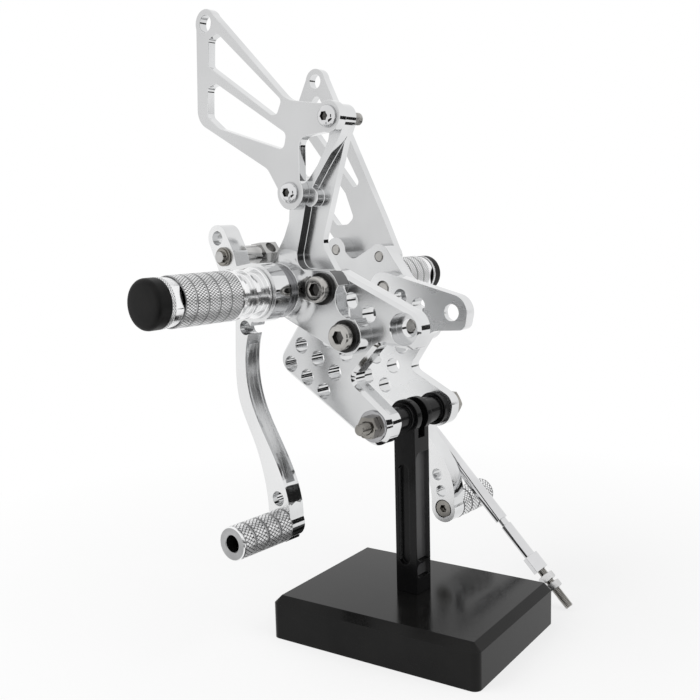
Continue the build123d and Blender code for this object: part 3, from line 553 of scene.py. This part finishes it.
def knurlInto(target, place, radius, start, end, around, lead, depth, land):
    bm = bmesh.new()
    along = max(2, round((end - start) / (lead / 2)))
    step = (end - start) / along
    base = radius - depth
    turned(bm, [(base, start + step * k) for k in range(along + 1)], around * 2)
    bmesh.ops.remove_doubles(bm, verts=bm.verts, dist=mergeGap)
    bmesh.ops.recalc_face_normals(bm, faces=bm.faces)

    def parity(v):
        column = round(math.atan2(v.co.y, v.co.x) / (math.pi / around))
        row = round((v.co.z - start) / step)
        return (column + row) % 2

    low = [v for v in bm.verts if parity(v) == 0]
    bmesh.ops.connect_verts(bm, verts=low)
    peaks = [v for v in bm.verts if parity(v) == 1 and not v.is_boundary]
    bmesh.ops.dissolve_verts(bm, verts=peaks)
    bmesh.ops.recalc_face_normals(bm, faces=bm.faces)
    diamonds = list(bm.faces)
    if diamonds[0].normal.dot(Vector((*diamonds[0].calc_center_median().xy, 0))) < 0:
        bmesh.ops.reverse_faces(bm, faces=diamonds)
    cut = bmesh.ops.inset_individual(bm, faces=diamonds, thickness=land, depth=depth, use_even_offset=True)
    ends = bmesh.ops.bridge_loops(bm, edges=[e for e in bm.edges if e.is_boundary])
    # diamond tops take the lighter copy: painted highlight
    for face in diamonds:
        face.material_index = 2
    # cut flanks and band ends take the dark copy: painted shade
    for face in cut["faces"] + ends["faces"]:
        face.material_index = 1
    shapeInto(target, bm, place)


footPeg = {
    "inner": 65.3, "steps": 96,
    "shank": (
        (4.05, 0.0), (12.2, 0.0), (12.6, 0.4), (12.6, 2.0), (12.2, 2.4), (10.1, 2.4), (9.8, 2.7),
        (9.8, 8.2), (10.1, 8.5), (11.7, 8.5), (12.0, 8.8), (12.0, 10.0), (11.7, 10.3), (10.1, 10.3),
        (9.8, 10.6), (9.8, 15.9), (10.1, 16.2), (12.0, 16.2), (12.3, 16.5), (12.3, 18.2), (11.9, 18.6),
        (4.05, 18.6),
    ),
    "grip": 12.0, "around": 54, "lead": 2.3, "cut": 0.4, "land": 0.13,
    "bands": ((18.6, 26.2), (26.6, 33.2), (33.6, 40.2), (40.6, 47.2), (47.6, 54.0)),
    "lineDepth": 0.8, "lineLap": 0.1,
    "groove": 11.3, "grooveLap": 0.2, "grooveEdge": 0.3, "grooveTip": 0.4, "flat": 10.1, "flatTurn": 15.0,
    "tipRing": (59.3, 61.5), "tipRadius": 11.6, "tipAround": 52, "tipLead": 1.1,
    "tipCut": 0.24, "tipLand": 0.078,
}
for node, (side, at) in pegSpots.items():
    whole = bmesh.new()
    place = unitPlace(side, at, footPeg["inner"])
    steps, bands = footPeg["steps"], footPeg["bands"]
    turnedInto(whole, place, footPeg["shank"] + footPeg["shank"][:1], steps)
    for start, end in bands:
        knurlInto(
            whole, place, footPeg["grip"], start, end,
            footPeg["around"], footPeg["lead"], footPeg["cut"], footPeg["land"],
        )
    low, lap = footPeg["grip"] - footPeg["cut"] * footPeg["lineDepth"], footPeg["lineLap"]
    for (_, start), (end, _) in zip(bands, bands[1:]):  # ring lines between the bands
        start, end = start - lap, end + lap
        turnedInto(whole, place, ((0, start), (low, start), (low, end), (0, end)), steps)
    part = bmesh.new()
    r, start, end = footPeg["groove"], bands[-1][1], footPeg["tipRing"][0]
    lap, edge, tip = footPeg["grooveLap"], footPeg["grooveEdge"], footPeg["grooveTip"]
    turned(part, (
        (0, start - lap), (r - edge, start - lap), (r, start + edge),
        (r, end - tip), (r - tip, end), (0, end),
    ), steps)
    for way in (1, -1):  # spanner flats on both sides
        turn = math.radians(footPeg["flatTurn"])
        flatWay = Vector((math.cos(turn), math.sin(turn), 0)) * way
        for v in part.verts:
            v.co -= flatWay * max(0, v.co.dot(flatWay) - footPeg["flat"])
    shapeInto(whole, part, place)
    knurlInto(
        whole, place, footPeg["tipRadius"], *footPeg["tipRing"],
        footPeg["tipAround"], footPeg["tipLead"], footPeg["tipCut"], footPeg["tipLand"],
    )
    makePiece(whole, camel(node), ("knurlAlu", "knurlValleyShade", "knurlTopHighlight"), node)

toePeg = {
    "inner": 65.0, "length": 34.0, "radius": 8.2, "around": 26, "lead": 2.5, "cut": 0.45, "land": 0.16,
    "bands": ((0.4, 8.5), (9.4, 17.0), (17.9, 25.5), (26.4, 32.9)), "bore": 4.15, "boreDeep": 17.0,
    "boreEdge": 0.4, "screwBore": 3.05, "collar": 1.1, "collarEdge": 0.5, "steps": 72,
}
toeSpots = {"brake_toe_peg": (brakeSide, (-33.5, -47.8)), "shift_toe_peg": (shiftSide, (-28.1, -63.9))}
for node, (side, at) in toeSpots.items():
    whole = bmesh.new()
    place = unitPlace(side, at, toePeg["inner"])
    r, end, bore, screw = (toePeg[k] for k in ("radius", "length", "bore", "screwBore"))
    low, floor, collar = r - toePeg["cut"], end - toePeg["boreDeep"], end - toePeg["collar"]
    edge, lip = toePeg["collarEdge"], toePeg["boreEdge"]
    part = bmesh.new()
    turned(part, (
        (screw, 0), (low, 0), (low, collar), (r, collar), (r, end - edge), (r - edge, end),
        (bore + lip, end), (bore, end - lip), (bore, floor), (screw, floor), (screw, 0),
    ), toePeg["steps"])
    for face in part.faces:  # ring lines take the dark knurl colour and the bore the black washer colour, both painted shade
        widest = max(math.hypot(v.co.x, v.co.y) for v in face.verts)
        face.material_index = 3 if widest < bore + touch else int(widest < low + touch)
    shapeInto(whole, part, place)
    for start, stop in toePeg["bands"]:
        knurlInto(
            whole, place, r, start, stop, toePeg["around"], toePeg["lead"], toePeg["cut"], toePeg["land"],
        )
    makePiece(whole, camel(node), ("knurlAlu", "knurlValleyShade", "knurlTopHighlight", "washerBlack"), node)
print("grips knurled")


# peg caps

pegCap = {
    "inner": 126.8, "steps": 96,
    "profile": (
        (0, -8), (6.0, -8), (6.0, 0), (11.3, 0), (11.6, 0.3), (11.6, 4.9), (11.45, 5.7), (11.0, 6.4),
        (10.3, 6.9), (9.2, 7.15), (5.0, 7.27), (0, 7.3),
    ),
}
for peg, (side, at) in pegSpots.items():
    whole = bmesh.new()
    turnedInto(whole, unitPlace(side, at, pegCap["inner"]), pegCap["profile"], pegCap["steps"])
    makePiece(whole, camel(peg + "_cap"), "capBlack", peg + "_cap")
print("caps turned")


# screws, nuts and threads

thread = {"deep": 0.6, "crest": (0.42, 0.58), "spare": 3, "leadIn": 0.15, "steps": 24, "seam": 1e-4}
socketWork = {"seatEdge": 0.25, "keyEdge": 0.3, "cone": 0.8, "steps": 72}
nutWork = {"boreEdge": 0.4, "faceIn": 0.1, "rise": 0.05, "chamfer": 0.55, "steps": 72}


def threadBar(whole, place, radius, pitch, start, end, finish=0):
    part = bmesh.new()
    steps = thread["steps"]
    root = radius - thread["deep"] * pitch
    turns = math.ceil((end - start) / pitch) + thread["spare"]
    rise, fall = thread["crest"]
    low = start - thread["spare"] / 2 * pitch
    line = [
        part.verts.new((r, 0, low + share * pitch))
        for r, share in ((root, 0), (radius, rise), (radius, fall), (root, 1))
    ]
    edges = [part.edges.new(pair) for pair in zip(line, line[1:])]
    bmesh.ops.spin(
        part, geom=line + edges, cent=(0, 0, 0), axis=(0, 0, 1), dvec=(0, 0, pitch / steps),
        angle=2 * math.pi * turns, steps=steps * turns, use_merge=False, use_duplicate=False,
    )
    bmesh.ops.remove_doubles(part, verts=part.verts, dist=thread["seam"])
    for level, way in ((start, -1), (end, 1)):
        bmesh.ops.bisect_plane(
            part, geom=list(part.verts) + list(part.edges) + list(part.faces), dist=mergeGap,
            plane_co=(0, 0, level), plane_no=(0, 0, way), clear_outer=True, clear_inner=False,
        )
    for v in part.verts:  # lead-in chamfers
        limit = root - thread["leadIn"] * pitch + min(v.co.z - start, end - v.co.z)
        r = math.hypot(v.co.x, v.co.y)
        if r > limit:
            v.co.x *= limit / r
            v.co.y *= limit / r
    bmesh.ops.remove_doubles(part, verts=part.verts, dist=touch)
    bmesh.ops.holes_fill(part, edges=[e for e in part.edges if e.is_boundary], sides=0)
    for face in part.faces:
        face.material_index = finish
    shapeInto(whole, part, place)


def socketHead(whole, place, seat, head):
    part = bmesh.new()
    top, radius, corner = seat + head["height"], head["radius"], cornerReach(head["key"])
    floor, edge, lip = top - head["keyDeep"], socketWork["seatEdge"], socketWork["keyEdge"]
    outer = [(0, seat), (radius - edge, seat), (radius, seat + edge)]
    outer += [(r, seat + z) for r, z in head["side"]]
    socket = ((corner + lip, top), (corner, top - lip), (corner, floor), (0, floor - socketWork["cone"]))
    turned(part, (*outer, *socket), socketWork["steps"])
    for face in part.faces:  # painted shade on the socket walls and floor
        widest = max(math.hypot(v.co.x, v.co.y) for v in face.verts)
        lowest = min(v.co.z for v in face.verts)
        face.material_index = int(widest < corner + touch and lowest > seat)
    sixSided(part, head["key"], ((corner, top - lip, 0), (corner, floor, 0)))
    shapeInto(whole, part, place)


def hexNut(whole, place, start, end, across, bore):
    part = bmesh.new()
    corner, face = cornerReach(across), across / 2 - nutWork["faceIn"]
    lip, rise = nutWork["boreEdge"], nutWork["rise"]
    turned(part, (
        (bore, start + lip), (bore + lip, start), (face, start), (corner, start + rise),
        (corner, end - rise), (face, end), (bore + lip, end), (bore, end - lip), (bore, start + lip),
    ), nutWork["steps"])
    sixSided(part, across, ((corner, start + rise, 1), (corner, end - rise, -1)), nutWork["chamfer"])
    shapeInto(whole, part, place)


bracketScrew = {
    "seat": 42.4, "tip": 23.0, "thread": 4.0, "pitch": 1.25,
    "head": {
        "radius": 6.5, "height": 5.0, "key": 6.0, "keyDeep": 3.2,
        "side": ((6.5, 3.9), (6.3, 4.3), (5.6, 4.9), (5.4, 5.0)),
    },
}
guardScrew = {
    "seat": 46.0, "thread": 3.0, "pitch": 1.0,
    "head": {
        "radius": 5.25, "height": 3.3, "key": 4.0, "keyDeep": 2.1,
        "side": ((5.25, 0.6), (5.05, 1.3), (4.6, 2.1), (3.9, 2.8), (3.1, 3.2), (2.8, 3.3)),
    },
}
for node, side in (("brake_bracket_screws", brakeSide), ("shift_bracket_screws", shiftSide)):
    whole = bmesh.new()
    seat, tip = bracketScrew["seat"], bracketScrew["tip"]
    for at in bracketBolts:
        place = unitPlace(side, at)
        socketHead(whole, place, seat, bracketScrew["head"])
        threadBar(whole, place, bracketScrew["thread"], bracketScrew["pitch"], tip, seat)
    makePiece(whole, camel(node), ("screwSteel", "socketPaintedShade"), node)
guardSpots = {
    "brake_guard_screws": (brakeSide, ((-12.4, 149.5), (-37.8, 115)), 22.0),
    "shift_guard_screws": (shiftSide, ((-59.4, 94.8), (-29.2, 86)), 31.6),
}
for node, (side, spots, tip) in guardSpots.items():
    whole = bmesh.new()
    seat = guardScrew["seat"]
    for at in spots:
        place = unitPlace(side, at)
        socketHead(whole, place, seat, guardScrew["head"])
        threadBar(whole, place, guardScrew["thread"], guardScrew["pitch"], tip, seat, finish=2)
    makePiece(whole, camel(node), ("rodChrome", "socketPaintedShade", "screwSteel"), node)

crossBolt = {
    "shank": 4.0, "radius": 3.0, "pitch": 1.0, "tip": 44.0, "threadFrom": 30.0, "washer": 33.4,
    "nut": 4.6, "flats": 10.4, "clear": 0.05, "head": 5.0, "headFlats": 13.0, "headBore": 0.5, "steps": 48,
}
place = unitPlace(brakeSide, (0, 0))
whole = bmesh.new()
near, far = crossBolt["washer"], -crossBolt["washer"]
nutBore = crossBolt["radius"] + crossBolt["clear"]
hexNut(whole, place, near, near + crossBolt["nut"], crossBolt["flats"], nutBore)
makePiece(whole, "standNut", "boltSteel", "stand_nut")
whole = bmesh.new()
shank, shoulder = crossBolt["shank"], crossBolt["threadFrom"]
threadBar(whole, place, crossBolt["radius"], crossBolt["pitch"], shoulder, crossBolt["tip"])
turnedInto(whole, place, ((0, far), (shank, far), (shank, shoulder), (0, shoulder)), crossBolt["steps"])
hexNut(whole, place, far - crossBolt["head"], far, crossBolt["headFlats"], crossBolt["headBore"])
makePiece(whole, "standBolt", "boltSteel", "stand_bolt")

linkRod = {
    "at": (-60.4, 11.5), "slope": -44.76, "mid": 70.0,
    "stud": 2.5, "pitch": 0.8, "studFrom": 131.0, "tip": 165.3,
    "nuts": (143.7, 149.3), "nutHigh": 4.0, "nutFlats": 8.0, "nutBore": 2.55,
}
slope = math.radians(linkRod["slope"])
along = Vector((math.cos(slope), 0, math.sin(slope)))
across = Vector((0, 1, 0))
rodPlace = Matrix.Scale(mm, 4) @ Matrix((across, along.cross(across), along)).transposed().to_4x4()
rodPlace.translation = unitPlace(shiftSide, linkRod["at"], linkRod["mid"]).translation
whole = bmesh.new()
threadBar(whole, rodPlace, linkRod["stud"], linkRod["pitch"], linkRod["studFrom"], linkRod["tip"])
makePiece(whole, "rodStud", "screwSteel", "rod_stud")
whole = bmesh.new()
for start in linkRod["nuts"]:
    hexNut(whole, rodPlace, start, start + linkRod["nutHigh"], linkRod["nutFlats"], linkRod["nutBore"])
makePiece(whole, "rodLockNuts", "nutSteel", "rod_lock_nuts")
print("screws and threads cut")


# frame parts that stay as they are

for node in ("stand_stud", "brake_peg_bolt", "shift_peg_bolt"):
    kept = frame["nodes"][node]
    kept.data.materials.clear()
    kept.data.materials.append(finishes["screwSteel"])
print("plain parts finished")


# stage, light and camera

stageLook = {
    "floor": 4.0, "tone": 0.9, "glow": (0.72, 1.0), "fade": (0.12, 0.42), "worldSoft": 0.5, "card": 0.02,
}
white = (1, 1, 1, 1)


def lightPathMask(tree):
    path = tree.nodes.new("ShaderNodeLightPath")
    first = tree.nodes.new("ShaderNodeMath")
    first.operation = "MAXIMUM"
    second = tree.nodes.new("ShaderNodeMath")
    second.operation = "MAXIMUM"
    tree.links.new(path.outputs["Is Camera Ray"], first.inputs[0])
    tree.links.new(path.outputs["Is Glossy Ray"], first.inputs[1])
    tree.links.new(first.outputs[0], second.inputs[0])
    tree.links.new(path.outputs["Is Transmission Ray"], second.inputs[1])
    return second.outputs[0]


floorMesh = bpy.data.meshes.new("floor")
bm = bmesh.new()
bmesh.ops.create_grid(bm, x_segments=1, y_segments=1, size=stageLook["floor"])
bm.to_mesh(floorMesh)
bm.free()
floor = bpy.data.objects.new("floor", floorMesh)
bpy.context.scene.collection.objects.link(floor)
floorFinish = bpy.data.materials.new("paleFloor")
floorFinish.use_nodes = True
tree = floorFinish.node_tree
tree.nodes.remove(tree.nodes["Principled BSDF"])
paper = tree.nodes.new("ShaderNodeBsdfDiffuse")
paper.inputs["Color"].default_value = (stageLook["tone"],) * 3 + (1,)
glow = tree.nodes.new("ShaderNodeEmission")
glow.inputs["Color"].default_value = white
glow.inputs["Strength"].default_value = 1.0
reach = tree.nodes.new("ShaderNodeVectorMath")
reach.operation = "LENGTH"
tree.links.new(tree.nodes.new("ShaderNodeTexCoord").outputs["Object"], reach.inputs[0])
share = tree.nodes.new("ShaderNodeMath")
share.operation = "MULTIPLY"
tree.links.new(span(tree, reach.outputs["Value"], *stageLook["glow"], *stageLook["fade"]), share.inputs[1])
tree.links.new(lightPathMask(tree), share.inputs[0])
blendNode = tree.nodes.new("ShaderNodeMixShader")
tree.links.new(share.outputs[0], blendNode.inputs["Fac"])
tree.links.new(paper.outputs[0], blendNode.inputs[1])
tree.links.new(glow.outputs[0], blendNode.inputs[2])
tree.links.new(blendNode.outputs[0], tree.nodes["Material Output"].inputs["Surface"])
floorMesh.materials.append(floorFinish)
floor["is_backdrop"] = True

world = bpy.data.worlds.new("studio")
bpy.context.scene.world = world
world.use_nodes = True
tree = world.node_tree
seen = tree.nodes["Background"]
seen.inputs["Color"].default_value = white
seen.inputs["Strength"].default_value = 1.0
soft = tree.nodes.new("ShaderNodeBackground")
soft.inputs["Color"].default_value = white
soft.inputs["Strength"].default_value = stageLook["worldSoft"]
blendNode = tree.nodes.new("ShaderNodeMixShader")
tree.links.new(lightPathMask(tree), blendNode.inputs["Fac"])
tree.links.new(soft.outputs[0], blendNode.inputs[1])
tree.links.new(seen.outputs[0], blendNode.inputs[2])
tree.links.new(blendNode.outputs[0], tree.nodes["World Output"].inputs["Surface"])

centre = Vector((-0.02, 0, 0.15))
lamps = {
    "keyLamp": {"spot": (-0.55, -0.75, 0.95), "size": 0.9, "power": 8.0},
    "fillLamp": {"spot": (0.9, 0.1, 0.8), "size": 0.8, "power": 4.0},
}
for name, lamp in lamps.items():
    data = bpy.data.lights.new(name, "AREA")
    data.shape = "SQUARE"
    data.size = lamp["size"]
    data.energy = lamp["power"]
    holder = bpy.data.objects.new(name, data)
    holder.location = lamp["spot"]
    holder.rotation_euler = (centre - Vector(lamp["spot"])).to_track_quat("-Z", "Y").to_euler()
    holder.visible_glossy = False  # soft light without a bright patch in the polished faces
    bpy.context.scene.collection.objects.link(holder)

darkCards = {  # unlit cards round the camera and the table's front edge, seen only in the metal
    "cameraCard": {"spot": (0.52, -0.62, 0.26), "size": (0.22, 0.36), "aim": True},
    "sideCard": {"spot": (0.75, 0.75, 0.12), "size": (0.42, 0.36), "aim": True},
    "tableCard": {"spot": (0.27, -0.42, 0.002), "size": (0.5, 0.36), "aim": False},
}
cardFinish = bpy.data.materials.new("darkCard")
cardFinish.use_nodes = True
shader = cardFinish.node_tree.nodes["Principled BSDF"]
shader.inputs["Base Color"].default_value = (stageLook["card"],) * 3 + (1,)
shader.inputs["Roughness"].default_value = 1.0
shader.inputs["Specular IOR Level"].default_value = 0.0
for name, card in darkCards.items():
    mesh = bpy.data.meshes.new(name)
    bm = bmesh.new()
    bmesh.ops.create_grid(bm, x_segments=1, y_segments=1, size=0.5)
    bmesh.ops.scale(bm, vec=(*card["size"], 1), verts=bm.verts)
    bm.to_mesh(mesh)
    bm.free()
    mesh.materials.append(cardFinish)
    sheet = bpy.data.objects.new(name, mesh)
    sheet.location = card["spot"]
    if card["aim"]:
        sheet.rotation_euler = (centre - Vector(card["spot"])).to_track_quat("Z", "Y").to_euler()
    sheet.visible_camera = False
    sheet.visible_diffuse = False
    sheet.visible_shadow = False
    sheet.visible_transmission = False
    bpy.context.scene.collection.objects.link(sheet)
    sheet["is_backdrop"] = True

photoCamera = {
    "spot": (0.2833, -0.3991, 0.2198), "look": (-0.623, 0.770, -0.138), "up": (-0.067, 0.123, 0.990),
    "lens": 49.37, "sensor": 36.0, "nearest": 0.01,
}
cameraData = bpy.data.cameras.new("photoCamera")
cameraData.sensor_width = photoCamera["sensor"]
cameraData.lens = photoCamera["lens"]
cameraData.clip_start = photoCamera["nearest"]
camera = bpy.data.objects.new("photoCamera", cameraData)
back = -Vector(photoCamera["look"]).normalized()
right = Vector(photoCamera["up"]).cross(back).normalized()
aim = Matrix((right, back.cross(right), back)).transposed().to_4x4()
aim.translation = photoCamera["spot"]
camera.matrix_world = aim
bpy.context.scene.collection.objects.link(camera)
bpy.context.scene.camera = camera
bpy.context.scene.view_settings.view_transform = "Standard"
print("stage, lamps and camera set")

low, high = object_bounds()
